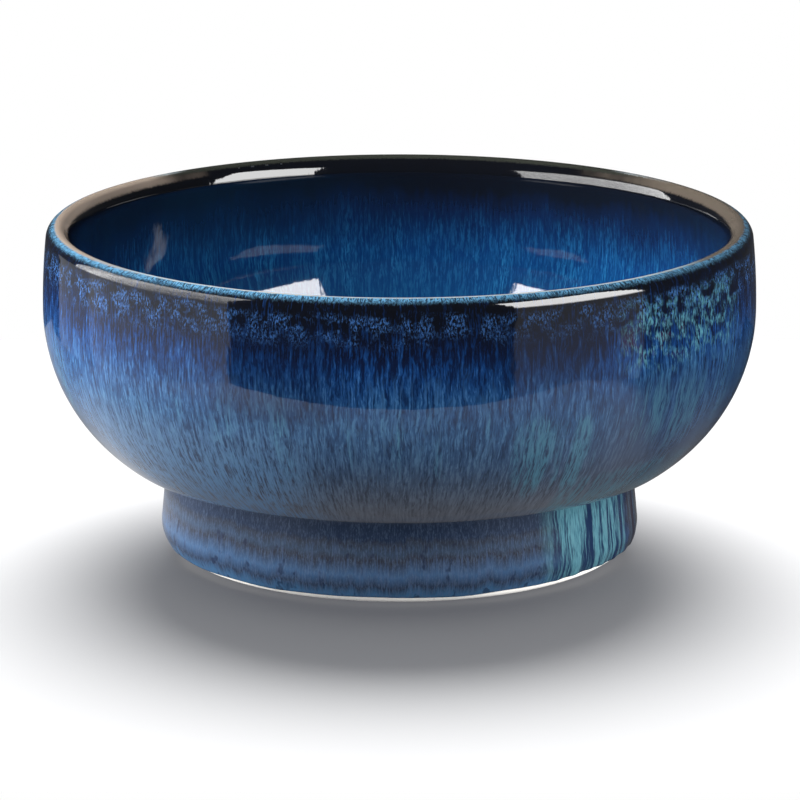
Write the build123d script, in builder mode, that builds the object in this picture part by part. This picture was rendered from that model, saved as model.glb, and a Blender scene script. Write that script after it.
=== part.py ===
from build123d import *
from math import cos, radians, sin, tan
import os

# A wide stoneware bowl on a hollow pedestal foot, glazed all over except for the ring it stands on.
# Every piece is turned about the Z axis, and the table is the plane z = 0. Sizes are in millimetres.

# ---- driving dimensions of the glazed bowl ----
WIDEST_DIAMETER = 210.0
WIDEST_HEIGHT = 73.5  # where the wall is vertical
OVERALL_HEIGHT = 98.0
COAT = 0.6  # thickness of the glaze everywhere but on the lip
LIP_COAT = 0.3  # the glaze runs off the lip and stays thinner there

# ---- outer form of the clay: arcs that run into each other ----
CLAY_RADIUS = WIDEST_DIAMETER / 2 - COAT
RIM_HEIGHT = OVERALL_HEIGHT - LIP_COAT
BELLY_RADIUS = 54.0 - COAT
BELLY_SWEEP = 55.6
HEEL_RADIUS = 10.2 - COAT  # the tight turn from the belly to the underside
HEEL_SWEEP = 26.2
BASE_SWEEP = 90.0 - BELLY_SWEEP - HEEL_SWEEP  # the shallow dish that ends on the axis
WALL_RADIUS = 204.0 - COAT  # the slight inward lean above the widest point
WALL_SWEEP = 7.5

# ---- inner form of the clay ----
WALL = 6.5
INNER_WALL_SWEEP = 5.55  # the inside follows the wall up to where the lip thins
LIP_FLARE_RADIUS = 5.9
LIP_FLARE_SWEEP = 42.5
INNER_BELLY_SWEEP = 40.0
INNER_HEEL_RADIUS = 26.0
INNER_HEEL_SWEEP = 42.0
FLOOR_SWEEP = 90.0 - INNER_BELLY_SWEEP - INNER_HEEL_SWEEP
LIP_OUTER_ROUND = 3.5
LIP_INNER_ROUND = 1.8

# ---- foot ----
NECK_RADIUS = 68.5  # outer radius of the foot where it meets the bowl
NECK_HEIGHT = 26.7
FOOT_FLARE = 5.3  # degrees by which the foot widens towards the table
FOOT_EDGE_ROUND = 8.6
WELL_TOP_RADIUS = 60.5
WELL_BOTTOM_RADIUS = 57.5
WELL_EDGE_ROUND = 1.5
SLIP = 0.8  # thickness of the slip between the bowl and the foot
SLIP_FILLET = 2.1

# ---- where one coat of glaze ends and the next begins ----
LIP_LINE = OVERALL_HEIGHT - 5.0
CUT_ANGLE = -45.0  # direction, in the section, of the cuts at the neck and at the bare ring
BARE_WELL = 3.0  # height inside the foot at which the coat stops
FAR = 300.0  # reaches past the whole section

FLARE_SLOPE = tan(radians(FOOT_FLARE))
FOOT_CORNER_RADIUS = NECK_RADIUS + NECK_HEIGHT * FLARE_SLOPE
LAND_RADIUS = FOOT_CORNER_RADIUS - FOOT_EDGE_ROUND / tan(radians((90.0 - FOOT_FLARE) / 2))
BLANK_TOP = NECK_HEIGHT + 3.0  # the uncut foot reaches into the wall of the bowl
NECK_CUT_START = (NECK_RADIUS - 3.0, BLANK_TOP)
BARE_CUT_START = (LAND_RADIUS, FOOT_EDGE_ROUND)


def along_cut(start):
    """A point far outside the section, along a glaze cut that begins at start."""
    angle = radians(CUT_ANGLE)
    return (start[0] + FAR * cos(angle), start[1] + FAR * sin(angle))


# ---- outlines, drawn as (radius, height) ----
# The bowl as a solid plug, from the middle of its underside up to the rim.
with BuildSketch() as plug:
    with BuildLine():
        widest = (CLAY_RADIUS, WIDEST_HEIGHT)
        belly = JernArc(widest, (0, -1), BELLY_RADIUS, -BELLY_SWEEP)
        heel = JernArc(belly @ 1, belly % 1, HEEL_RADIUS, -HEEL_SWEEP)
        base_radius = (heel @ 1).X / sin(radians(BASE_SWEEP))
        base = JernArc(heel @ 1, heel % 1, base_radius, -BASE_SWEEP)
        wall = JernArc(widest, (0, 1), WALL_RADIUS, WALL_SWEEP)
        Polyline(wall @ 1, (0, (wall @ 1).Y), base @ 1)
    make_face()
    with Locations((0, RIM_HEIGHT)):
        Rectangle(FAR, FAR, align=(Align.CENTER, Align.MIN), mode=Mode.SUBTRACT)

# The space inside the bowl.
with BuildSketch() as cavity:
    with BuildLine():
        widest = (CLAY_RADIUS - WALL, WIDEST_HEIGHT)
        belly = JernArc(widest, (0, -1), BELLY_RADIUS - WALL, -INNER_BELLY_SWEEP)
        heel = JernArc(belly @ 1, belly % 1, INNER_HEEL_RADIUS, -INNER_HEEL_SWEEP)
        floor_radius = (heel @ 1).X / sin(radians(FLOOR_SWEEP))
        floor = JernArc(heel @ 1, heel % 1, floor_radius, -FLOOR_SWEEP)
        wall = JernArc(widest, (0, 1), WALL_RADIUS - WALL, INNER_WALL_SWEEP)
        flare = JernArc(wall @ 1, wall % 1, LIP_FLARE_RADIUS, -LIP_FLARE_SWEEP)
        opening = flare @ 1 + LIP_FLARE_RADIUS * (flare % 1)
        Polyline(flare @ 1, opening, (0, opening.Y), floor @ 1)
    make_face()

with BuildSketch() as bowl_section:
    add(plug.sketch_local)
    add(cavity.sketch_local, mode=Mode.SUBTRACT)
    fillet(bowl_section.vertices().group_by(Axis.Y)[-1].sort_by(Axis.X)[-1], LIP_OUTER_ROUND)
    fillet(bowl_section.vertices().group_by(Axis.Y)[-1].sort_by(Axis.X)[0], LIP_INNER_ROUND)

# The foot before its top is cut to the underside of the bowl.
with BuildSketch() as foot_blank:
    Polygon(
        (FOOT_CORNER_RADIUS, 0),
        (FOOT_CORNER_RADIUS - BLANK_TOP * FLARE_SLOPE, BLANK_TOP),
        (WELL_TOP_RADIUS, BLANK_TOP),
        (WELL_BOTTOM_RADIUS, 0),
        align=None,
    )
    fillet(foot_blank.vertices().group_by(Axis.Y)[0].sort_by(Axis.X)[-1], FOOT_EDGE_ROUND)
    fillet(foot_blank.vertices().group_by(Axis.Y)[0].sort_by(Axis.X)[0], WELL_EDGE_ROUND)

with BuildSketch() as bowl_and_slip:
    add(plug.sketch_local)
    offset(amount=SLIP)

with BuildSketch() as foot_section:
    add(foot_blank.sketch_local)
    add(bowl_and_slip.sketch_local, mode=Mode.SUBTRACT)

# All the fired clay as one outline, with slip smoothed into both corners of the joint.
with BuildSketch() as clay:
    add(bowl_section.sketch_local)
    add(foot_blank.sketch_local)
    fillet(clay.vertices().sort_by_distance((NECK_RADIUS, NECK_HEIGHT))[0], SLIP_FILLET)
    fillet(clay.vertices().sort_by_distance((WELL_TOP_RADIUS, NECK_HEIGHT))[0], SLIP_FILLET)

# The glaze is the clay's outline grown by its thickness.
with BuildSketch() as coat:
    add(clay.sketch_local)
    offset(amount=COAT)
    add(clay.sketch_local, mode=Mode.SUBTRACT)

with BuildSketch() as lip_coat:
    add(clay.sketch_local)
    offset(amount=LIP_COAT)
    add(clay.sketch_local, mode=Mode.SUBTRACT)

with BuildSketch() as above_lip_line:
    with Locations((0, LIP_LINE)):
        Rectangle(FAR, FAR, align=(Align.MIN, Align.MIN))


# ---- the clay ----
with BuildPart() as bowl_body:
    with BuildSketch(Plane.XZ):
        add(bowl_section.sketch_local)
    revolve(axis=Axis.Z)

with BuildPart() as foot_ring:
    with BuildSketch(Plane.XZ):
        add(foot_section.sketch_local)
    revolve(axis=Axis.Z)

# The slip fills what is left between the two thrown pieces.
with BuildPart() as luting_slip:
    with BuildSketch(Plane.XZ):
        add(clay.sketch_local)
        add(bowl_section.sketch_local, mode=Mode.SUBTRACT)
        add(foot_section.sketch_local, mode=Mode.SUBTRACT)
    revolve(axis=Axis.Z)

# ---- the coats of glaze ----
with BuildPart() as inside_glaze:
    with BuildSketch(Plane.XZ):
        add(coat.sketch_local)
        add(cavity.sketch_local, mode=Mode.INTERSECT)
        add(above_lip_line.sketch_local, mode=Mode.SUBTRACT)
    revolve(axis=Axis.Z)

with BuildPart() as lip_glaze:
    with BuildSketch(Plane.XZ):
        add(lip_coat.sketch_local)
        add(above_lip_line.sketch_local, mode=Mode.INTERSECT)
    revolve(axis=Axis.Z)

with BuildPart() as outside_glaze:
    with BuildSketch(Plane.XZ):
        Polygon(
            NECK_CUT_START,
            along_cut(NECK_CUT_START),
            (NECK_CUT_START[0] + FAR, LIP_LINE),
            (NECK_CUT_START[0], LIP_LINE),
            align=None,
        )
        add(coat.sketch_local, mode=Mode.INTERSECT)
        add(cavity.sketch_local, mode=Mode.SUBTRACT)
    revolve(axis=Axis.Z)

with BuildPart() as foot_glaze:
    with BuildSketch(Plane.XZ):
        Polygon(
            NECK_CUT_START,
            along_cut(NECK_CUT_START),
            along_cut(BARE_CUT_START),
            BARE_CUT_START,
            align=None,
        )
        add(coat.sketch_local, mode=Mode.INTERSECT)
    revolve(axis=Axis.Z)

with BuildPart() as foot_well_glaze:
    with BuildSketch(Plane.XZ):
        with Locations((0, BARE_WELL)):
            Rectangle(WELL_TOP_RADIUS, NECK_HEIGHT - BARE_WELL, align=(Align.MIN, Align.MIN))
        add(coat.sketch_local, mode=Mode.INTERSECT)
    revolve(axis=Axis.Z)

# ---- one STEP file for each piece ----
os.makedirs("parts", exist_ok=True)

bowl_body.part.label = "bowl_body"
export_step(bowl_body.part, "parts/bowl_body.step")
foot_ring.part.label = "foot_ring"
export_step(foot_ring.part, "parts/foot_ring.step")
luting_slip.part.label = "luting_slip"
export_step(luting_slip.part, "parts/luting_slip.step")
inside_glaze.part.label = "inside_glaze"
export_step(inside_glaze.part, "parts/inside_glaze.step")
lip_glaze.part.label = "lip_glaze"
export_step(lip_glaze.part, "parts/lip_glaze.step")
outside_glaze.part.label = "outside_glaze"
export_step(outside_glaze.part, "parts/outside_glaze.step")
foot_glaze.part.label = "foot_glaze"
export_step(foot_glaze.part, "parts/foot_glaze.step")
foot_well_glaze.part.label = "foot_well_glaze"
export_step(foot_well_glaze.part, "parts/foot_well_glaze.step")
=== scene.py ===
import math
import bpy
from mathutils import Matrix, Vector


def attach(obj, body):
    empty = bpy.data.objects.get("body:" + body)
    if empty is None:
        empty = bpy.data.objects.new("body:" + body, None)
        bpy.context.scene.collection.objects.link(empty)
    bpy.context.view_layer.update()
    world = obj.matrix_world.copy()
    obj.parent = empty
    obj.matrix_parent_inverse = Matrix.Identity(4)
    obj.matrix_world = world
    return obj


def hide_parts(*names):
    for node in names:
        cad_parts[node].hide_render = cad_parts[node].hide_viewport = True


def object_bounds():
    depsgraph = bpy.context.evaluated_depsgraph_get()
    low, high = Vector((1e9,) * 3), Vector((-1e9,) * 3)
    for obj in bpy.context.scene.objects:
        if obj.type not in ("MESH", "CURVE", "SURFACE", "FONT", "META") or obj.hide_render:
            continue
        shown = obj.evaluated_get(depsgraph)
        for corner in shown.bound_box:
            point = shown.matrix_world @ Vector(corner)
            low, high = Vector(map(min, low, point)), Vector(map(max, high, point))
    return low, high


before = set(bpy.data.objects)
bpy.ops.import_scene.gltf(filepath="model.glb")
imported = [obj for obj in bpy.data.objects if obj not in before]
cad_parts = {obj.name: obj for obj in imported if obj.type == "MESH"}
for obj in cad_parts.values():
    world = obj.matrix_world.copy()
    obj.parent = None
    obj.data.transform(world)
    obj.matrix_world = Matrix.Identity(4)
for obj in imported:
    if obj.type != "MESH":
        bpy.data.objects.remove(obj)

from types import SimpleNamespace

import bpy
import numpy as np

CAD_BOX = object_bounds()

MM = 0.001
DEG = math.pi / 180

# ---------------------------------------------- shape, in millimetres and degrees

# The outer skin of the glaze, from the crest of the lip down to the standing ring.
CREST_HEIGHT = CAD_BOX[1].z / MM
WIDEST_RADIUS = min(CAD_BOX[1].x - CAD_BOX[0].x, CAD_BOX[1].y - CAD_BOX[0].y) / MM / 2
WIDEST_HEIGHT = 73.5
WALL_ROUND = 204.0
LIP_OUTER_ROUND = 3.8
BELLY_ROUND, BELLY_SWEEP = 54.0, 55.6
HEEL_ROUND, HEEL_SWEEP = 10.2, 26.2
BASE_SLOPE = 90 - BELLY_SWEEP - HEEL_SWEEP
NECK_FILLET = 1.5
FOOT_FLARE = 5.3
FOOT_WALL = (69.1, 26.7)  # radius and height of one point of the foot's glazed wall
FOOT_ROUND, FOOT_ROUND_HEIGHT = 9.2, 8.6  # the foot's lower edge and its centre's height
BARE_ANGLE = 43.0  # how far round that edge the glaze goes

# The inner skin.
WALL_THICKNESS = 7.7  # clay and both coats
LIP_INNER_ROUND = 2.1
LIP_FLARE_ROUND, LIP_FLARE_ANGLE = 6.5, 37.0
INNER_BELLY_SWEEP = 40.0
INNER_HEEL_ROUND, INNER_HEEL_SWEEP = 25.4, 42.0
FLOOR_SLOPE = 8.0

# The clay of the foot, and the hollow inside it.
CLAY_ROUND = 8.6
CLAY_TOP, WELL_DROP = 25.9, 1.0  # where the ring ends under the bowl; it is lower inside
WELL_RADIUS, WELL_FLARE = 57.5, 5.77
WELL_ROUND, LAND_WIDTH = 1.5, 2.38
WELL_COAT_START = 3.0  # height inside the foot at which its coat begins
CLAY_GRAIN = 0.05
FLAT_HEIGHT = 0.8  # the grain fades below this height, so the bowl stands on a flat ring

# The coats of glaze, and where they meet.
COAT, LIP_COAT = 0.6, 0.3
LIP_LINE_DEPTH = 5.0
LIP_REACH = 20.0  # the lip line is nearer to the crest than this
FOOT_WALL_COAT = 16.5  # how much skin above the foot's lower edge is in the foot's coat
THROWN_DEPTH = 0.03  # how far the surface lies below its greatest size
THROWN_WAVE, THROWN_RING = 0.02, 0.01
EDGE_ROLL, EDGE_BEAD, EDGE_WANDER = 0.9, 0.12, 0.7
# Where the foot's glaze ends sooner: by how much, and the middle and spread of the place.
BARE_RISE, BARE_MIDDLE, BARE_SPREAD = 1.5, 60.0, 28.0
# Runs of thick glaze on the foot: angle from the front, width and height.
FOOT_RUNS = ((41.0, 1.5, 0.22), (46.5, 1.8, 0.34), (52.5, 1.3, 0.22), (57.5, 2.2, 0.28),
             (64.0, 1.7, 0.30), (71.0, 2.6, 0.32), (79.0, 2.0, 0.30), (-168.0, 2.0, 0.30),
             (150.0, 2.4, 0.35), (-96.0, 1.8, 0.20), (112.0, 2.2, 0.30))
RUN_RISE, RUN_WANDER = 6.0, 0.8

# Meshes: columns round the bowl, and the distance between their rows.
COLUMNS = 640
FINE = 0.25
BODY_ROWS, FOOT_ROWS, LIP_ROWS, DISH_ROWS, CLAY_ROWS = 0.7, 0.35, 0.3, 0.8, 0.6
HIDDEN_ROWS, HIDDEN_LIP_OUT, HIDDEN_LIP_IN = 5.0, 1.0, 0.6
POLE_GAP, FINE_REACH, POLE_COARSENESS = 1.0, 65.0, 3
SMOOTH_BELOW = 50  # sharper corners than this stay sharp


class Skin:
    """A meridian line: radius, height and direction of travel against distance along it."""

    def __init__(self, start, heading):
        self.points = [np.array(start, float)]
        self.headings = [heading]
        self.distances = [0.0]

    def arc(self, radius, sweep):
        """Turns left for a positive sweep and right for a negative one, in degrees."""
        side = math.copysign(1.0, sweep)
        first = self.headings[-1]
        centre = self.points[-1] + radius * unit(first + 90 * side)
        steps = max(2, math.ceil(radius * abs(sweep) * DEG / FINE))
        length = radius * abs(sweep) * DEG
        origin = self.distances[-1]
        for i in range(1, steps + 1):
            turned = sweep * i / steps
            self.points.append(centre + radius * unit(first + turned - 90 * side))
            self.headings.append(first + turned)
            self.distances.append(origin + length * i / steps)
        return self

    def line(self, length):
        """Goes straight on."""
        self.points.append(self.points[-1] + length * unit(self.headings[-1]))
        self.headings.append(self.headings[-1])
        self.distances.append(self.distances[-1] + length)
        return self

    def length(self):
        return self.distances[-1]

    def at(self, distance):
        """Radius, height and the unit normal on the left of the line of travel."""
        points = np.array(self.points)
        radius = np.interp(distance, self.distances, points[:, 0])
        height = np.interp(distance, self.distances, points[:, 1])
        heading = np.interp(distance, self.distances, self.headings) * DEG
        return radius, height, -np.sin(heading), np.cos(heading)


def unit(angle):
    return np.array([math.cos(angle * DEG), math.sin(angle * DEG)])


def crest():
    """Radius of the top of the lip, and how far round the lip's outer round goes."""
    rise = CREST_HEIGHT - WIDEST_HEIGHT
    lean = math.asin((rise - LIP_OUTER_ROUND) / (WALL_ROUND - LIP_OUTER_ROUND)) / DEG
    radius = WIDEST_RADIUS - WALL_ROUND + (WALL_ROUND - LIP_OUTER_ROUND) * math.cos(lean * DEG)
    return radius, lean


def belly_skin():
    """From the crest over the belly to where the underside begins."""
    radius, lean = crest()
    skin = Skin((radius, CREST_HEIGHT), 0.0)
    skin.arc(LIP_OUTER_ROUND, lean - 90)
    skin.arc(WALL_ROUND, -lean)
    skin.arc(BELLY_ROUND, -BELLY_SWEEP)
    return skin.arc(HEEL_ROUND, -HEEL_SWEEP)


def outer_skin():
    """From the crest over the belly, under the bowl to the neck, and down the foot."""
    base_round, base_centre = base_circle()
    neck = neck_centre(base_round, base_centre)
    slope = math.atan2(neck[0], base_centre - neck[1]) / DEG
    skin = belly_skin()
    skin.arc(base_round, slope - BASE_SLOPE)
    skin.arc(NECK_FILLET, FOOT_FLARE - 90 - skin.headings[-1])
    top = skin.points[-1][1]
    tangent = FOOT_ROUND_HEIGHT + FOOT_ROUND * math.sin(FOOT_FLARE * DEG)
    skin.line((top - tangent) / math.cos(FOOT_FLARE * DEG))
    skin.arc(FOOT_ROUND, -FOOT_FLARE - BARE_ANGLE)
    return skin


def neck_centre(base_round, base_centre):
    """Centre of the hollow fillet between the underside and the foot's wall."""
    along, out = unit(FOOT_FLARE - 90), unit(FOOT_FLARE)
    start = np.array(FOOT_WALL) + NECK_FILLET * out
    return start + along * slide(start, along, (0.0, base_centre), base_round + NECK_FILLET)


def slide(start, along, centre, reach):
    """The shortest travel from start along a direction that ends reach away from centre."""
    offset = start - np.array(centre)
    half = offset @ along
    root = math.sqrt(half * half - offset @ offset + reach * reach)
    return min(-half - root, -half + root, key=abs)


def inner_skin():
    """From the crest down the inside to the middle of the floor."""
    radius, _ = crest()
    wall = WALL_ROUND - WALL_THICKNESS
    wall_centre = np.array([WIDEST_RADIUS - WALL_ROUND, WIDEST_HEIGHT])
    skin = Skin((radius, CREST_HEIGHT), 180.0)
    skin.arc(LIP_INNER_ROUND, 90 - LIP_FLARE_ANGLE)
    heading = skin.headings[-1]
    flare_centre = skin.points[-1] + LIP_FLARE_ROUND * unit(heading + 90)
    travel = slide(flare_centre, unit(heading), wall_centre, wall + LIP_FLARE_ROUND)
    across, rise = flare_centre + travel * unit(heading) - wall_centre
    lean = math.atan2(rise, across) / DEG
    skin.line(travel)
    skin.arc(LIP_FLARE_ROUND, LIP_FLARE_ANGLE + lean)
    skin.arc(wall, -lean)
    skin.arc(BELLY_ROUND - WALL_THICKNESS, -INNER_BELLY_SWEEP)
    skin.arc(INNER_HEEL_ROUND, -INNER_HEEL_SWEEP)
    skin.arc(skin.points[-1][0] / math.sin(FLOOR_SLOPE * DEG), -FLOOR_SLOPE)
    return skin


def base_circle():
    """Radius, and height of the centre, of the shallow arc of the underside."""
    end = belly_skin().points[-1]
    radius = end[0] / math.sin(BASE_SLOPE * DEG)
    return radius, end[1] + radius * math.cos(BASE_SLOPE * DEG)


def well_skin():
    """Up the wall of the foot's hollow and across the underside to the middle."""
    base_round, base_centre = base_circle()
    lean = WELL_COAT_START * math.tan(WELL_FLARE * DEG)
    skin = Skin((WELL_RADIUS + lean - COAT, WELL_COAT_START), 90 - WELL_FLARE)
    along = unit(skin.headings[-1])
    centre = skin.points[-1] + NECK_FILLET * unit(180 - WELL_FLARE)
    travel = slide(centre, along, (0.0, base_centre), base_round + NECK_FILLET)
    centre = centre + travel * along
    slope = math.atan2(centre[0], base_centre - centre[1]) / DEG
    skin.line(travel)
    skin.arc(NECK_FILLET, 90 + WELL_FLARE + slope)
    return skin.arc(base_round, -slope)


def clay_foot_skin():
    """The bare clay of the foot: down its wall, round the standing ring, up the hollow."""
    flare = math.tan(FOOT_FLARE * DEG)
    skin = Skin((FOOT_WALL[0] - COAT + (FOOT_WALL[1] - CLAY_TOP) * flare, CLAY_TOP), FOOT_FLARE - 90)
    tangent = CLAY_ROUND * (1 + math.sin(FOOT_FLARE * DEG))
    skin.line((CLAY_TOP - tangent) / math.cos(FOOT_FLARE * DEG))
    skin.arc(CLAY_ROUND, -90 - FOOT_FLARE)
    skin.line(LAND_WIDTH)
    skin.arc(WELL_ROUND, -90 - WELL_FLARE)
    rise = CLAY_TOP - skin.points[-1][1] - WELL_DROP
    return skin.line(rise / math.cos(WELL_FLARE * DEG))


def distance_at_height(skin, height):
    """Distance from the crest at which a skin falls to a height near the lip."""
    heights = np.array(skin.points)[:, 1]
    stop = np.searchsorted(skin.distances, LIP_REACH)
    return float(np.interp(-height, -heights[:stop], np.array(skin.distances)[:stop]))


def wave_field(seed, count, around, along, amplitude):
    """A smooth wandering height over angle and distance, closed round the bowl."""
    rng = np.random.default_rng(seed)
    orders = rng.integers(1, around, count)
    rates = rng.uniform(-1, 1, count) * 2 * math.pi / along
    phases = rng.uniform(0, 2 * math.pi, count)
    weights = rng.uniform(0.4, 1.0, count)
    weights *= amplitude / weights.sum()

    def field(angle, distance):
        total = np.zeros(np.broadcast(angle, distance).shape)
        for order, rate, phase, weight in zip(orders, rates, phases, weights):
            total += weight * np.sin(order * angle + rate * distance + phase)
        return total

    return field


def angles():
    return np.arange(COLUMNS) * 2 * math.pi / COLUMNS


def rows(start, stop, spacing):
    return np.linspace(start, stop, max(2, math.ceil(abs(stop - start) / spacing)) + 1)


def spread(distances):
    """The same distances in every column."""
    return np.repeat(distances[:, None], COLUMNS, 1)


def grid(skin, distances, depth):
    """Points of a skin for distances of shape rows by columns, sunk by depth."""
    radius, height, out_r, out_z = skin.at(distances)
    angle = angles()[None, :]
    radius = radius - out_r * depth
    height = height - out_z * depth
    # The first column looks along -Y, towards the front.
    return np.stack([radius * np.sin(angle), -radius * np.cos(angle), height + 0 * angle], -1)


def lathe(name, points, flow, closed, slot):
    """A closed mesh from rings of points. An open chain of rings gets a pole at each end."""
    rings, columns = points.shape[:2]
    flow = np.broadcast_to(flow, points.shape[:2])
    vertices = points.reshape(-1, 3)
    values = flow.reshape(-1)
    index = np.arange(rings * columns).reshape(rings, columns)
    after = np.roll(index, -1, axis=1)
    last = rings if closed else rings - 1
    quads = []
    for i in range(last):
        j = (i + 1) % rings
        quads.append(np.stack([index[i], after[i], after[j], index[j]], -1))
    quads = np.concatenate(quads).tolist()
    if not closed:
        poles = [len(vertices), len(vertices) + 1]
        vertices = np.vstack([vertices, points[0].mean(0), points[-1].mean(0)])
        values = np.append(values, [flow[0].mean(), flow[-1].mean()])
        quads += np.stack([after[0], index[0], np.full(columns, poles[0])], -1).tolist()
        quads += np.stack([index[-1], after[-1], np.full(columns, poles[1])], -1).tolist()
    return mesh_piece(name, vertices, quads, values, slot)


def mesh_piece(name, vertices, faces, flow, slot):
    """A smooth mesh of the object, with its flow stored and its material given."""
    mesh = bpy.data.meshes.new(name)
    mesh.from_pydata((vertices * MM).tolist(), [], faces)
    if turned_inside_out(vertices, faces):
        mesh.flip_normals()
    mesh.polygons.foreach_set("use_smooth", [True] * len(mesh.polygons))
    mesh.set_sharp_from_angle(angle=SMOOTH_BELOW * DEG)
    attribute = mesh.attributes.new("flow", "FLOAT", "POINT")
    attribute.data.foreach_set("value", flow.astype(np.float32))
    mesh.update()
    piece = bpy.data.objects.new(name, mesh)
    bpy.context.scene.collection.objects.link(piece)
    mesh.materials.append(MATERIALS[slot])
    return piece


def turned_inside_out(vertices, faces):
    """Whether the faces enclose a negative volume; a sample of them is enough to tell."""
    total = 0.0
    for face in faces[:: max(1, len(faces) // 20000)]:
        a = vertices[face[0]]
        for second, third in zip(face[1:-1], face[2:]):
            total += a @ np.cross(vertices[second], vertices[third])
    return total < 0


def coat_ring(name, skin, front, depth, back, slot):
    """A closed ring of glaze: the front sunk by depth, the back by the coat's thickness."""
    points = np.concatenate([grid(skin, front, depth),
                             grid(skin, back, np.full(back.shape, COAT))])
    return lathe(name, points, np.concatenate([front, back]), True, slot)


def coat_piece(name, skin, start, stop, spacing, relief, slot):
    """A coat over a stretch of skin: a fine visible face and a plain hidden one."""
    front = spread(rows(start, stop, spacing))
    back = spread(rows(stop, start, HIDDEN_ROWS))
    return coat_ring(name, skin, front, relief(angles()[None, :], front), back, slot)


def rolled_coat_piece(name, skin, start, stop, spacing, relief, edge, slot):
    """The same, but at stop it ends in a wandering rolled edge that closes on the clay."""

    def drawn(distances):
        share = np.clip((distances - start) / (stop - start), 0, 1)[:, None] ** 4
        return spread(distances) + share * edge(angles())[None, :]

    front = drawn(rows(start, stop, spacing))
    back = drawn(rows(stop, start, HIDDEN_ROWS))[1:]
    left = front[-1:] - front
    bead = np.clip(1 - left / EDGE_ROLL, 0, 1)
    depth = relief(angles()[None, :], front)
    depth = depth - EDGE_BEAD * np.exp(-((left - EDGE_ROLL) / EDGE_ROLL) ** 2)
    depth = depth + (COAT + EDGE_BEAD) * (1 - np.sqrt(1 - bead ** 2))
    return coat_ring(name, skin, front, depth, back, slot)


def lip_piece(name, outer, inner, outer_stop, inner_stop, relief, slot):
    """The thin glaze that runs over the lip, from inside to outside."""
    angle = angles()[None, :]
    front_in = spread(rows(inner_stop, 0, LIP_ROWS)[:-1])
    front_out = spread(rows(0, outer_stop, LIP_ROWS))
    back_out = spread(rows(outer_stop, 0, HIDDEN_LIP_OUT))
    back_in = spread(rows(0, inner_stop, HIDDEN_LIP_IN)[1:])
    points = np.concatenate([
        grid(inner, front_in, -relief(angle, -front_in)),
        grid(outer, front_out, relief(angle, front_out)),
        grid(outer, back_out, np.full(back_out.shape, LIP_COAT)),
        grid(inner, back_in, np.full(back_in.shape, -LIP_COAT)),
    ])
    flow = np.concatenate([-front_in, front_out, back_out, -back_in])
    return lathe(name, points, flow, True, slot)


def dished_coat(name, skin, start, side, first_flow, relief, slot):
    """Glaze over a stretch of skin that ends on the axis; side is the visible one, +1 left."""
    stop = skin.length() - POLE_GAP
    near = min(stop, start + FINE_REACH)
    middle = rows(near, stop, POLE_COARSENESS * DISH_ROWS)[1:]
    front = spread(np.concatenate([rows(start, near, DISH_ROWS), middle])[::-1])
    back = spread(rows(start, stop, HIDDEN_ROWS))
    points = np.concatenate([
        grid(skin, front, side * relief(angles()[None, :], front)),
        grid(skin, back, np.full(back.shape, side * COAT)),
    ])
    return lathe(name, points, first_flow - np.concatenate([front, back]), False, slot)


def clay_ring(name, skin, slot):
    """The clay of the foot as one closed ring."""
    distances = spread(rows(0, skin.length(), CLAY_ROWS))
    grain = wave_field(23, 14, 90, 6.0, CLAY_GRAIN)
    depth = CLAY_GRAIN + grain(angles()[None, :], distances)
    depth = depth * np.clip(skin.at(distances)[1] / FLAT_HEIGHT, 0, 1)
    return lathe(name, grid(skin, distances, depth), 0.0, True, slot)


# ---------------------------------------------------------------------- materials


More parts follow.
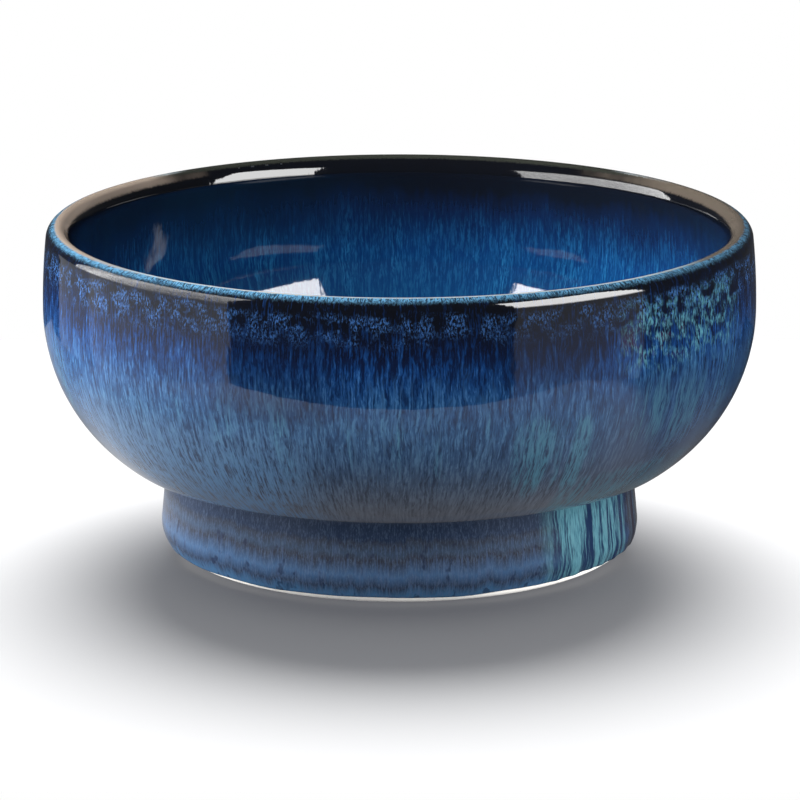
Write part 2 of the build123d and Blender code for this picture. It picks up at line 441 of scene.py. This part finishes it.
class Net:
    """A few short calls for building the nodes of a material or a world."""

    def __init__(self, owner):
        self.owner = owner
        self.owner.use_nodes = True
        self.tree = self.owner.node_tree
        self.shader = self.tree.nodes.get("Principled BSDF")

    def node(self, kind, **settings):
        made = self.tree.nodes.new(kind)
        for key, value in settings.items():
            setattr(made, key, value)
        return made

    def feed(self, socket, value):
        if isinstance(value, bpy.types.NodeSocket):
            self.tree.links.new(value, socket)
        elif value is not None:
            socket.default_value = value

    def math(self, operation, a, b=None, clamp=False):
        made = self.node("ShaderNodeMath", operation=operation, use_clamp=clamp)
        for socket, value in zip(made.inputs, (a, b)):
            self.feed(socket, value)
        return made.outputs[0]

    def add(self, a, b):
        return self.math("ADD", a, b)

    def sub(self, a, b):
        return self.math("SUBTRACT", a, b)

    def mul(self, a, b):
        return self.math("MULTIPLY", a, b)

    def step(self, value, low, high):
        """0 at low, 1 at high, smooth between; low may be above high."""
        made = self.node("ShaderNodeMapRange", interpolation_type="SMOOTHSTEP")
        falls = low > high
        self.feed(made.inputs["Value"], value)
        made.inputs["From Min"].default_value = min(low, high)
        made.inputs["From Max"].default_value = max(low, high)
        made.inputs["To Min"].default_value = 1.0 if falls else 0.0
        made.inputs["To Max"].default_value = 0.0 if falls else 1.0
        return made.outputs["Result"]

    def band(self, value, low, rise, fall, high):
        """0 outside low and high, 1 between rise and fall."""
        return self.mul(self.step(value, low, rise), self.step(value, high, fall))

    def curve(self, value, stops):
        """A number that follows (position, number) stops."""
        return self.colours(value, [(position, (number,) * 3) for position, number in stops])

    def colours(self, value, stops):
        """A colour that follows (position, colour) stops; positions in the value's own unit."""
        first, last = stops[0][0], stops[-1][0]
        share = self.math("DIVIDE", self.sub(value, first), last - first, clamp=True)
        ramp = self.node("ShaderNodeValToRGB")
        elements = ramp.color_ramp.elements
        while len(elements) < len(stops):
            elements.new(0.5)
        for element, (position, colour) in zip(elements, stops):
            element.position = (position - first) / (last - first)
            element.color = (*colour, 1.0)
        self.feed(ramp.inputs["Fac"], share)
        return ramp.outputs["Color"]

    def mix(self, share, a, b):
        made = self.node("ShaderNodeMix", data_type="RGBA")
        self.feed(made.inputs[0], share)
        self.feed(made.inputs[6], a if isinstance(a, bpy.types.NodeSocket) else (*a, 1.0))
        self.feed(made.inputs[7], b if isinstance(b, bpy.types.NodeSocket) else (*b, 1.0))
        return made.outputs[2]

    def ridge(self, value, sharpness):
        """1 along the lines where a noise crosses its middle, falling off to both sides."""
        off = self.math("ABSOLUTE", self.sub(value, 0.5))
        return self.sub(1.0, self.mul(off, sharpness))

    def vector(self, x, y, z):
        made = self.node("ShaderNodeCombineXYZ")
        for socket, value in zip(made.inputs, (x, y, z)):
            self.feed(socket, value)
        return made.outputs[0]

    def noise(self, place, width, length, detail=2.0, rough=0.5):
        """Noise over the glaze: width round the bowl and length down it, in millimetres."""
        x, y, z = place
        point = self.vector(self.mul(x, 1 / width), self.mul(y, 1 / width), self.mul(z, 1 / length))
        made = self.node("ShaderNodeTexNoise", noise_dimensions="3D")
        self.feed(made.inputs["Vector"], point)
        made.inputs["Scale"].default_value = 1.0
        made.inputs["Detail"].default_value = detail
        made.inputs["Roughness"].default_value = rough
        return made.outputs["Fac"]


TAN = (0.42, 0.335, 0.27)
TAN_SHADED = (0.16, 0.132, 0.105)
PALE_CREST_AND_HIGHLIGHT = (0.55, 0.62, 0.64)
OLIVE = (0.030, 0.033, 0.027)
LIP_BLUE = (0.14, 0.38, 0.62)
FLECK_BLUE = (0.06, 0.18, 0.48)
RUN_TURQUOISE = (0.07, 0.24, 0.33)
PURPLE = (0.045, 0.012, 0.040)
PAINTED_LIGHT_BLUE = (0.10, 0.22, 0.40)
SPARK_TURQUOISE = (0.12, 0.37, 0.46)
POOL_BLUE = (0.003, 0.008, 0.028)
SHADED_BLUE = (0.014, 0.024, 0.060)
INSIDE_BLUE = (0.02, 0.17, 0.36)
FOOT_HAIR, FOOT_DRIP, FOOT_BEAD = (0.12, 0.18, 0.29), (0.085, 0.14, 0.27), (0.012, 0.018, 0.050)
CLAY_PALE, CLAY_DARK, CLAY_SPECK = (0.86, 0.85, 0.82), (0.72, 0.69, 0.64), (0.34, 0.27, 0.20)

GLAZE_IOR = 1.5
STREAK_WANDER = 1.7  # millimetres by which streaks sway sideways
NECK_FLOW = (80.0, 84.0)  # where the bowl's colours give way to the foot's


def glaze_fields(net):
    """What colours the glaze: its flow, the angle from the front in degrees, and noises.

    Flow is the distance from the lip's crest in millimetres, below zero on the inside.
    """
    split = net.node("ShaderNodeSeparateXYZ")
    net.feed(split.inputs[0], net.node("ShaderNodeTexCoord").outputs["Object"])
    x, y = split.outputs[0], split.outputs[1]
    turned = net.node("ShaderNodeVectorMath", operation="NORMALIZE")
    net.feed(turned.inputs[0], net.vector(x, y, 0.0))
    drum = net.node("ShaderNodeSeparateXYZ")
    net.feed(drum.inputs[0], turned.outputs[0])
    flow = net.node("ShaderNodeAttribute", attribute_name="flow").outputs["Fac"]
    across, along = (net.mul(drum.outputs[i], WIDEST_RADIUS) for i in (0, 1))
    wander = net.sub(net.noise((across, along, flow), 4.0, 7.0, 3.0), 0.5)
    wander = net.mul(wander, STREAK_WANDER)
    place = (net.add(across, wander), net.add(along, wander), flow)
    f = SimpleNamespace(
        flow=flow,
        angle=net.mul(net.math("ARCTAN2", x, net.mul(y, -1.0)), 1 / DEG),
        hair=net.noise(place, 0.42, 3.2, 2.0, 0.6),
        strand=net.noise(place, 0.8, 8.5, 3.0, 0.62),
        run=net.noise(place, 6.0, 60.0, 3.0, 0.55),
        cloud=net.sub(net.noise(place, 26.0, 30.0, 3.0, 0.55), 0.5),
        tooth=net.noise(place, 0.45, 2.2, 2.0, 0.6),
        curl=net.noise(place, 0.45, 1.0, 3.0, 0.68),
        cluster=net.noise(place, 4.5, 4.0, 2.0, 0.5),
        rivulet=net.ridge(net.noise(place, 2.0, 17.0, 1.0, 0.4), 5.0),
        ripple=net.noise(place, 4.0, 6.0, 2.0),
    )
    f.ragged = torn(net, flow, f, 9.0, 9.0)
    f.streak = net.add(net.mul(f.strand, 0.60), net.mul(f.hair, 0.40))
    return f


def torn(net, value, f, by_strand, by_cloud):
    """A distance whose level lines are torn into streaks and sway in wide waves."""
    return net.add(value, net.add(net.mul(net.sub(f.strand, 0.5), by_strand),
                                  net.mul(f.cloud, by_cloud)))


def reactive_glaze(name, gloss=0.5, roughness=0.045):
    """Dark glossy glaze that breaks into blue hare's-fur streaks as it runs down the bowl."""
    net = Net(bpy.data.materials.new(name))
    f = glaze_fields(net)
    colour = net.mix(net.math("GREATER_THAN", f.flow, 0.0), inside_colours(net, f),
                     outside_colours(net, f))
    colour = lip_colours(net, colour, f)
    colour = net.mix(net.step(f.flow, *NECK_FLOW), colour, foot_colours(net, f))
    net.feed(net.shader.inputs["Base Color"], colour)
    bump = net.node("ShaderNodeBump")
    bump.inputs["Strength"].default_value = 0.10
    bump.inputs["Distance"].default_value = 0.4 * MM
    net.feed(bump.inputs["Height"], net.add(f.ripple, net.mul(f.strand, 0.12)))
    net.feed(net.shader.inputs["Normal"], bump.outputs["Normal"])
    net.shader.inputs["Roughness"].default_value = roughness
    net.shader.inputs["Specular IOR Level"].default_value = gloss
    net.shader.inputs["IOR"].default_value = GLAZE_IOR
    return net.owner


def patch(net, f, sides, ends):
    """1 inside a soft-edged patch of the bowl: angles in degrees, distances in millimetres."""
    return net.mul(net.band(f.angle, sides[0] - 5, sides[0] + 3, sides[1] - 3, sides[1] + 5),
                   net.band(f.flow, ends[0] - 3, ends[0] + 3, ends[1] - 6, ends[1] + 6))


def outside_colours(net, f):
    """Black below the lip, a belt of flecks, royal-blue streaks, then grey-blue hair."""
    colour = flecks(net, streaks(net, f), f)
    colour = turquoise_runs(net, colour, f)
    colour = uneven_tones(net, colour, f)
    # Turquoise sparks under the lip on the right.
    sparks = net.mul(patch(net, f, (39, 65), (9, 27)), net.step(f.tooth, 0.46, 0.62))
    sparks = net.mul(sparks, net.step(f.cluster, 0.38, 0.60))
    return net.mix(net.mul(sparks, 0.85), colour, SPARK_TURQUOISE)


def streaks(net, f):
    """Three layers of blue, each breaking through the one below it, and long rivulets."""
    base = net.colours(f.ragged, [
        (0, (0.0035, 0.0040, 0.006)),
        (10, (0.0030, 0.0045, 0.010)),
        (17, (0.003, 0.007, 0.028)),
        (26, (0.003, 0.016, 0.066)),
        (38, (0.007, 0.032, 0.100)),
        (50, (0.018, 0.040, 0.090)),
        (64, (0.050, 0.062, 0.090)),
        (80, (0.145, 0.150, 0.170)),
    ])
    royal = net.colours(f.flow, [
        (8, (0.004, 0.018, 0.070)),
        (22, (0.006, 0.050, 0.200)),
        (40, (0.020, 0.085, 0.220)),
        (58, (0.050, 0.085, 0.150)),
        (80, (0.170, 0.176, 0.198)),
    ])
    light = net.colours(f.flow, [
        (8, (0.03, 0.10, 0.28)),
        (22, (0.035, 0.14, 0.38)),
        (40, (0.07, 0.20, 0.38)),
        (56, (0.085, 0.14, 0.23)),
        (80, (0.185, 0.198, 0.228)),
    ])
    cover = net.curve(f.ragged, [(4, 0.0), (14, 0.06), (23, 0.31), (34, 0.49), (80, 0.54)])
    above = net.sub(f.streak, net.sub(0.66, net.mul(cover, 0.27)))
    colour = net.mix(net.step(above, -0.14, 0.0), base, royal)
    colour = net.mix(net.step(above, -0.02, 0.10), colour, light)
    thread = net.mul(net.step(f.rivulet, 0.66, 0.98), net.step(f.run, 0.38, 0.55))
    thread = net.mul(thread, net.band(f.ragged, 19.0, 32.0, 48.0, 68.0))
    return net.mix(net.mul(thread, 0.55), colour, light)


def flecks(net, colour, f):
    """Clustered curls where the colour first breaks out of the black."""
    curls = net.mul(net.step(f.curl, 0.47, 0.66), net.step(f.cluster, 0.38, 0.60))
    belt = net.band(net.add(f.flow, net.mul(f.cloud, 6.0)), 5.5, 8.0, 12.5, 17.0)
    return net.mix(net.mul(curls, belt), colour, FLECK_BLUE)


def turquoise_runs(net, colour, f):
    """Broad turquoise runs, strongest on the right of the front, and a purple patch."""
    rich = net.math("MAXIMUM", patch(net, f, (39, 57), (14, 52)),
                    patch(net, f, (20, 34), (38, 66)))
    rich = net.math("MAXIMUM", rich, patch(net, f, (30, 62), (60, 92)))
    wide = net.step(net.add(f.run, net.mul(rich, 0.16)), 0.50, 0.66)
    wide = net.mul(wide, net.step(f.ragged, 24.0, 40.0))
    wide = net.mul(wide, net.math("MAXIMUM", rich, net.mul(net.step(f.flow, 64.0, 46.0), 0.8)))
    wide = net.mul(wide, net.step(net.add(f.streak, net.mul(rich, 0.04)), 0.45, 0.60))
    colour = net.mix(net.mul(wide, 0.62), colour, RUN_TURQUOISE)
    bruise = net.mul(patch(net, f, (37, 50), (16, 25)), net.step(f.cluster, 0.5, 0.6))
    return net.mix(net.mul(bruise, 0.5), colour, PURPLE)


def uneven_tones(net, colour, f):
    """Painted light makes the left paler, where the lamps light it more; painted shade makes the
    right darker; it is also darker in two pools.
    """
    # Painted light: the left of the body is painted paler.
    thin = net.mul(net.band(f.angle, -75.0, -50.0, -25.0, -8.0), net.step(f.flow, 34.0, 56.0))
    colour = net.mix(net.mul(net.mul(thin, net.step(f.streak, 0.38, 0.56)), 0.72), colour, PAINTED_LIGHT_BLUE)
    # Painted shade: the right of the body is painted darker.
    shaded = net.mul(net.band(f.angle, 28.0, 42.0, 110.0, 130.0),
                     net.band(f.flow, 24.0, 36.0, 64.0, 78.0))
    colour = net.mix(net.mul(shaded, 0.5), colour, SHADED_BLUE)
    pools = net.math("MAXIMUM", patch(net, f, (-28, -11), (11, 38)),
                     patch(net, f, (16, 32), (11, 26)))
    return net.mix(net.mul(pools, 0.5), colour, POOL_BLUE)


def inside_colours(net, f):
    """Black under the lip, then fine soft royal-blue streaks down to the floor."""
    down = torn(net, net.mul(f.flow, -1.0), f, 10.0, 12.0)
    base = net.colours(down, [
        (0, (0.0035, 0.0040, 0.006)),
        (11, (0.0035, 0.0050, 0.009)),
        (20, (0.0035, 0.0110, 0.042)),
        (32, (0.004, 0.030, 0.115)),
        (48, (0.005, 0.055, 0.175)),
        (64, (0.008, 0.080, 0.215)),
        (150, (0.008, 0.070, 0.180)),
    ])
    hairy = net.add(net.mul(f.strand, 0.5), net.mul(f.hair, 0.5))
    glow = net.mul(net.step(hairy, 0.44, 0.64), net.step(down, 14.0, 40.0))
    glow = net.mul(glow, net.add(0.35, net.mul(net.step(f.run, 0.4, 0.65), 0.4)))
    return net.mix(glow, base, INSIDE_BLUE)


def lip_colours(net, colour, f):
    """A toothed blue band outside, and a rubbed edge that is broad and tan at the sides; the tan is
    painted darker on the right as painted shade, and the pale line along the front of the crest is
    partly painted highlight.
    """
    reach = net.add(f.flow, net.mul(net.sub(f.tooth, 0.5), 4.0))
    band = net.mul(net.step(reach, 3.6, 2.0), net.step(f.flow, -0.9, 0.1))
    back = net.step(net.math("ABSOLUTE", f.angle), 128.0, 140.0)
    dashes = net.add(0.12, net.mul(net.step(net.add(f.tooth, f.curl), 0.92, 1.08), 0.88))
    colour = net.mix(net.mul(band, dashes), colour, LIP_BLUE)
    side = net.band(net.add(net.math("ABSOLUTE", f.angle), net.mul(f.cloud, 30.0)),
                    42.0, 66.0, 126.0, 142.0)
    worn = net.add(f.flow, net.mul(net.sub(f.tooth, 0.5), 1.4))
    # Painted shade: the tan is darker on the right, away from the stronger light on the left.
    tan = net.mix(net.step(f.angle, -20.0, 20.0), TAN, TAN_SHADED)
    colour = net.mix(net.mul(side, net.band(worn, -4.2, -3.2, 0.7, 1.5)), colour, tan)
    colour = net.mix(net.mul(back, net.band(worn, -2.4, -1.6, 0.6, 1.4)), colour, OLIVE)
    # The pale line along the front of the crest is partly the crest's own pale colour and partly a
    # painted highlight.
    thin = net.band(worn, -1.2, -0.7, 0.4, 0.9)
    front = net.sub(1.0, net.math("MAXIMUM", side, back))
    return net.mix(net.mul(front, thin), colour, PALE_CREST_AND_HIGHLIGHT)


def foot_colours(net, f):
    """Below the neck the glaze gathers in belts, with painted shade in the groove under the belly,
    and hangs in thick runs on the right.
    """
    belts = net.add(f.flow, net.add(net.mul(net.sub(f.strand, 0.5), 3.5),
                                  net.mul(net.sub(f.run, 0.5), 5.0)))
    # Painted shade: the ramp is darkest from 90 to 97 mm, in the groove under the belly.
    wall = net.colours(belts, [
        (84, (0.035, 0.055, 0.090)),
        (90, (0.018, 0.034, 0.072)),
        (97, (0.018, 0.034, 0.078)),
        (98.5, (0.032, 0.040, 0.062)),
        (101, (0.040, 0.068, 0.120)),
        (103, (0.030, 0.034, 0.050)),
        (105, (0.035, 0.062, 0.120)),
        (107.5, (0.050, 0.115, 0.235)),
        (111, (0.030, 0.045, 0.082)),
        (114, (0.060, 0.170, 0.340)),
        (117, (0.065, 0.190, 0.320)),
    ])
    hairy = net.step(net.add(net.mul(f.hair, 0.5), net.mul(f.curl, 0.5)), 0.47, 0.62)
    wall = net.mix(net.mul(hairy, 0.42), wall, FOOT_HAIR)
    drips = net.mul(net.step(f.strand, 0.50, 0.62), net.step(f.flow, 97.0, 101.0))
    wall = net.mix(net.mul(drips, 0.4), wall, FOOT_DRIP)
    beads = net.mul(net.step(f.cluster, 0.56, 0.66), net.step(f.run, 0.44, 0.56))
    beads = net.mul(beads, net.step(f.flow, 96.0, 99.0))
    wall = net.mix(net.mul(beads, 0.6), wall, FOOT_BEAD)
    side = net.add(f.angle, net.mul(net.sub(f.strand, 0.5), 8.0))
    thick = net.band(side, 34.0, 44.0, 66.0, 74.0)  # where the runs hang
    runs = net.step(net.add(net.mul(f.run, 0.8), net.mul(f.strand, 0.5)), 0.57, 0.70)
    gaps = net.mix(net.step(f.flow, 92.0, 96.0), (0.03, 0.06, 0.12), (0.012, 0.030, 0.085))
    milky = net.mix(net.step(f.hair, 0.35, 0.6), (0.06, 0.18, 0.25), (0.13, 0.33, 0.40))
    wall = net.mix(thick, wall, net.mix(runs, gaps, milky))
    # Beyond them the foot is dark and lumpy.
    dark = net.mul(net.step(f.angle, 68.0, 76.0), net.step(f.angle, 130.0, 100.0))
    lumps = net.mix(runs, (0.020, 0.014, 0.030), (0.045, 0.075, 0.12))
    return net.mix(dark, wall, lumps)


def clay(name):
    """Bare fired stoneware: off-white, matt, with faint specks."""
    net = Net(bpy.data.materials.new(name))
    position = net.node("ShaderNodeTexCoord").outputs["Object"]
    grain = net.node("ShaderNodeTexNoise")
    grain.inputs["Scale"].default_value = 900.0
    grain.inputs["Detail"].default_value = 4.0
    net.feed(grain.inputs["Vector"], position)
    specks = net.step(grain.outputs["Fac"], 0.66, 0.72)
    warm = net.mix(grain.outputs["Fac"], CLAY_DARK, CLAY_PALE)
    net.feed(net.shader.inputs["Base Color"], net.mix(specks, warm, CLAY_SPECK))
    net.shader.inputs["Roughness"].default_value = 0.78
    bump = net.node("ShaderNodeBump")
    bump.inputs["Strength"].default_value = 0.5
    bump.inputs["Distance"].default_value = 0.1 * MM
    net.feed(bump.inputs["Height"], grain.outputs["Fac"])
    net.feed(net.shader.inputs["Normal"], bump.outputs["Normal"])
    return net.owner


GLAZE_SLOTS = ("inside_glaze", "lip_glaze", "outside_glaze", "foot_glaze", "foot_well_glaze")
MATERIALS = {slot: reactive_glaze(slot) for slot in GLAZE_SLOTS if slot != "foot_glaze"}
MATERIALS["foot_glaze"] = reactive_glaze("foot_glaze", gloss=0.22, roughness=0.16)
MATERIALS["fired_clay"] = clay("fired_clay")


# ------------------------------------------------------------------------- pieces


def relief_field():
    """Depth of the glaze surface below its greatest size: throwing rings and soft waves."""
    wave = wave_field(7, 9, 9, 60.0, THROWN_WAVE)
    rings = wave_field(11, 4, 3, 9.0, THROWN_RING)

    def relief(angle, distance):
        return THROWN_DEPTH + wave(angle, distance) + rings(angle, distance)

    return relief


def foot_relief(plain, first):
    """The same, with thick runs standing out of the foot's glaze from a little below first."""
    wander = wave_field(31, 6, 12, 30.0, RUN_WANDER * DEG)

    def relief(angle, distance):
        raised = np.zeros(np.broadcast(angle, distance).shape)
        for middle, width, height in FOOT_RUNS:
            off = angle - middle * DEG + wander(0 * angle, distance)
            off = (off + math.pi) % (2 * math.pi) - math.pi
            raised += height * np.exp(-((off / (width * DEG)) ** 2))
        return plain(angle, distance) - raised * np.clip((distance - first) / RUN_RISE, 0, 1)

    return relief


def higher_edge(angle):
    """How much sooner the foot's glaze ends, in millimetres, on the right of the front."""
    return BARE_RISE * np.exp(-((angle / DEG - BARE_MIDDLE) / BARE_SPREAD) ** 2)


def build():
    outer, inner = outer_skin(), inner_skin()
    lip_out = distance_at_height(outer, CREST_HEIGHT - LIP_LINE_DEPTH)
    lip_in = distance_at_height(inner, CREST_HEIGHT - LIP_LINE_DEPTH)
    foot_edge = outer.length() - FOOT_ROUND * (FOOT_FLARE + BARE_ANGLE) * DEG
    neck = foot_edge - FOOT_WALL_COAT
    relief = relief_field()
    wander = wave_field(5, 12, 24, 50.0, EDGE_WANDER)
    coat_piece("outside_glaze_coat", outer, lip_out, neck, BODY_ROWS, relief, "outside_glaze")
    rolled_coat_piece("foot_glaze_coat", outer, neck, outer.length(), FOOT_ROWS,
                      foot_relief(relief, neck),
                      lambda angle: wander(angle, 0.0) - higher_edge(angle), "foot_glaze")
    lip_piece("lip_glaze_coat", outer, inner, lip_out, lip_in, relief, "lip_glaze")
    dished_coat("inside_glaze_coat", inner, lip_in, -1, 0.0, relief, "inside_glaze")
    dished_coat("foot_well_glaze_coat", well_skin(), 0.0, 1, -60.0, relief, "foot_well_glaze")
    for node in GLAZE_SLOTS:
        stand_for(bpy.data.objects[node + "_coat"], node)
    stand_for(clay_ring("foot_ring_clay", clay_foot_skin(), "fired_clay"), "foot_ring")
    for node in ("bowl_body", "luting_slip"):
        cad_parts[node].data.materials.clear()
        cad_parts[node].data.materials.append(MATERIALS["fired_clay"])


def stand_for(piece, node):
    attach(piece, "root")
    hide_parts(node)


# ------------------------------------------------------------------ studio, in metres

TABLE = ((-0.26, -0.235), (0.28, 0.26))  # two opposite corners; round it all is white
TABLE_GREY = (0.10, 0.10, 0.10)
TABLE_GLOW = (0.118, 0.122, 0.135)  # what the rest of the room throws back into the shadow
TABLE_LIGHT_TILT = 38.0  # from upright, towards the back
ROOM_GREY, BACKDROP_WHITE = (0.05, 0.05, 0.05), (1.0, 1.0, 1.0)

# Plan of the two softboxes: the end nearer the camera and the far end.
LEFT_BOX = ((-0.357, -0.306), (-0.572, 0.313))
RIGHT_BOX = ((0.336, -0.514), (0.520, -0.130))
LEFT_LOW, RIGHT_LOW, UNDER_TABLE = 0.11, 0.15, -0.3
GLOW_TOP_RIGHT = 0.11

CAMERA_PLACE = (0.00014, -1.5, 0.41905)
CAMERA_TILT = 75.96
LENS, SENSOR = 234.8, 36.0


def studio_floor():
    """A plain table, lit so brightly that it looks white."""
    (left, front), (right, back) = TABLE
    mesh = bpy.data.meshes.new("table_top")
    mesh.from_pydata([(left, front, 0), (right, front, 0), (right, back, 0), (left, back, 0)],
                     [], [(0, 1, 2, 3)])
    floor = bpy.data.objects.new("table_top", mesh)
    bpy.context.scene.collection.objects.link(floor)
    net = Net(bpy.data.materials.new("table_top"))
    net.shader.inputs["Base Color"].default_value = (*TABLE_GREY, 1.0)
    net.shader.inputs["Roughness"].default_value = 1.0
    net.shader.inputs["Specular IOR Level"].default_value = 0.0
    net.shader.inputs["Emission Color"].default_value = (*TABLE_GLOW, 1.0)
    net.shader.inputs["Emission Strength"].default_value = 1.0
    mute_in_mirrors(net)
    mesh.materials.append(net.owner)
    return floor


def mute_in_mirrors(net):
    """The glaze mirrors a table that is greyer than white, most of all right of and behind it."""
    split = net.node("ShaderNodeSeparateXYZ")
    net.feed(split.inputs[0], net.node("ShaderNodeTexCoord").outputs["Object"])
    x, y = split.outputs[0], split.outputs[1]
    side = net.add(x, net.mul(y, 0.6))
    pale = net.curve(side, [(-0.30, 1.0), (-0.20, 0.7), (0.15, 0.7), (0.24, 0.25), (0.40, 0.2)])
    pale = net.mul(pale, net.sub(1.0, net.mul(net.step(y, 0.0, 0.1), 0.6)))
    behind = net.mul(net.step(net.add(x, net.mul(y, 2.0)), -0.03, 0.07), net.step(x, 0.02, 0.09))
    pale = net.mul(pale, net.sub(1.0, net.mul(behind, 0.8)))
    mirrored = net.node("ShaderNodeLightPath").outputs["Is Glossy Ray"]
    black = net.node("ShaderNodeEmission")
    black.inputs["Strength"].default_value = 0.0
    mixed = net.node("ShaderNodeMixShader")
    net.feed(mixed.inputs[0], net.mul(mirrored, net.sub(1.0, pale)))
    net.feed(mixed.inputs[1], net.shader.outputs[0])
    net.feed(mixed.inputs[2], black.outputs[0])
    net.feed(net.tree.nodes["Material Output"].inputs["Surface"], mixed.outputs[0])


def floor_light(name, floor, energy, spread, blockers=()):
    """High soft light from behind that lights only the table; blockers alone shade it if named."""
    light = bpy.data.lights.new(name, "SUN")
    light.energy = energy
    light.angle = spread * DEG
    lamp = bpy.data.objects.new(name, light)
    lamp.rotation_euler = (-TABLE_LIGHT_TILT * DEG, 0, 0)
    bpy.context.scene.collection.objects.link(lamp)
    lit = bpy.data.collections.new(name + "_lights")
    lit.objects.link(floor)
    lamp.light_linking.receiver_collection = lit
    if blockers:
        shading = bpy.data.collections.new(name + "_shaded_by")
        for piece in blockers:
            shading.objects.link(bpy.data.objects[piece])
        lamp.light_linking.blocker_collection = shading


def panel(name, plan, bottom, top, radiance, pieces):
    """One upright rectangle of light that faces the bowl and lights only the named pieces."""
    near, far = np.array(plan[0]), np.array(plan[1])
    middle = (near + far) / 2
    along = (far - near) / np.linalg.norm(far - near)
    facing = np.array([-along[1], along[0]])
    facing = facing * -np.sign(facing @ middle)
    light = bpy.data.lights.new(name, "AREA")
    light.shape = "RECTANGLE"
    light.size, light.size_y = np.linalg.norm(far - near), top - bottom
    light.energy = radiance * math.pi * light.size * light.size_y
    lamp = bpy.data.objects.new(name, light)
    lamp.location = (middle[0], middle[1], (bottom + top) / 2)
    lamp.rotation_euler = (math.pi / 2, 0, math.atan2(-facing[0], facing[1]))
    lamp.visible_camera = False
    lit = bpy.data.collections.new(name + "_lights")
    for piece in pieces:
        lit.objects.link(bpy.data.objects[piece])
    lamp.light_linking.receiver_collection = lit
    bpy.context.scene.collection.objects.link(lamp)
    return lamp


def stretch(plan, start, stop):
    """The part of a plan line between two shares of its length."""
    near, far = np.array(plan[0]), np.array(plan[1])
    return (tuple(near + start * (far - near)), tuple(near + stop * (far - near)))


def softboxes():
    """Tall softboxes left and right of the camera: mirrored bright, lighting the colour gently."""
    bowl = ("outside_glaze_coat", "lip_glaze_coat")
    foot = ("foot_glaze_coat", "foot_well_glaze_coat")
    ring = ("foot_ring_clay",)
    hollow = ("inside_glaze_coat",)
    mirrored = [
        panel("left_softbox", LEFT_BOX, LEFT_LOW, 0.42, 14.0, bowl),
        panel("left_softbox_edge", LEFT_BOX, LEFT_LOW - 0.03, 0.44, 6.0, bowl),
        panel("left_glow_near", stretch(LEFT_BOX, 0.0, 0.5), UNDER_TABLE, LEFT_LOW, 0.8, bowl),
        panel("left_glow_middle", stretch(LEFT_BOX, 0.0, 0.75), UNDER_TABLE, LEFT_LOW, 0.7, bowl),
        panel("left_glow_far", stretch(LEFT_BOX, 0.0, 1.0), UNDER_TABLE, LEFT_LOW, 0.55, bowl),
        panel("left_glow_wide", stretch(LEFT_BOX, 0.0, 1.7), UNDER_TABLE, LEFT_LOW, 0.45, bowl),
        panel("right_softbox", RIGHT_BOX, RIGHT_LOW, 0.60, 16.0, bowl),
        panel("right_softbox_edge", RIGHT_BOX, GLOW_TOP_RIGHT, 0.62, 7.0, bowl),
        panel("right_glow", RIGHT_BOX, UNDER_TABLE, GLOW_TOP_RIGHT, 0.4, bowl),
        panel("left_softbox_inside", LEFT_BOX, 0.262, 0.62, 20.0, hollow),
        panel("right_softbox_inside", RIGHT_BOX, 0.31, 0.62, 18.0, hollow),
        panel("left_glow_foot", LEFT_BOX, UNDER_TABLE, 0.20, 0.4, foot),
        panel("right_glow_foot", RIGHT_BOX, UNDER_TABLE, 0.16, 0.2, foot),
    ]
    for lamp in mirrored:
        lamp.visible_diffuse = False
    gentle = [
        panel("left_fill_bowl", LEFT_BOX, 0.0, 0.95, 6.6, bowl),
        panel("right_fill_bowl", RIGHT_BOX, 0.0, 0.95, 3.6, bowl),
        panel("left_fill_foot", LEFT_BOX, 0.0, 0.50, 6.0, foot),
        panel("right_fill_foot", RIGHT_BOX, 0.0, 0.50, 4.5, foot),
        panel("left_fill_ring", LEFT_BOX, 0.0, 0.30, 26.0, ring),
        panel("right_fill_ring", RIGHT_BOX, 0.0, 0.30, 26.0, ring),
        panel("left_fill_inside", LEFT_BOX, 0.0, 0.50, 17.0, hollow),
        panel("right_fill_inside", RIGHT_BOX, 0.0, 0.50, 6.0, hollow),
    ]
    for lamp in gentle:
        lamp.visible_glossy = False


def backdrop():
    """White behind the bowl, and a dim room everywhere else."""
    net = Net(bpy.data.worlds.new("studio"))
    net.tree.nodes.clear()
    shade = net.mix(net.node("ShaderNodeLightPath").outputs["Is Camera Ray"],
                    ROOM_GREY, BACKDROP_WHITE)
    plain = net.node("ShaderNodeBackground")
    net.feed(plain.inputs["Color"], shade)
    net.feed(net.node("ShaderNodeOutputWorld").inputs[0], plain.outputs[0])
    bpy.context.scene.world = net.owner


def camera():
    data = bpy.data.cameras.new("camera")
    data.lens, data.sensor_width = LENS, SENSOR
    data.clip_start, data.clip_end = 0.1, 20.0
    eye = bpy.data.objects.new("camera", data)
    eye.location = CAMERA_PLACE
    eye.rotation_euler = (CAMERA_TILT * DEG, 0, 0)
    bpy.context.scene.collection.objects.link(eye)
    bpy.context.scene.camera = eye


def studio():
    backdrop()
    table = studio_floor()
    floor_light("table_light", table, energy=34.0, spread=50.0)
    floor_light("table_light_soft", table, energy=8.0, spread=60.0,
                blockers=("foot_glaze_coat", "foot_ring_clay"))
    softboxes()
    camera()
    bpy.context.scene.view_settings.view_transform = "Standard"


build()
studio()
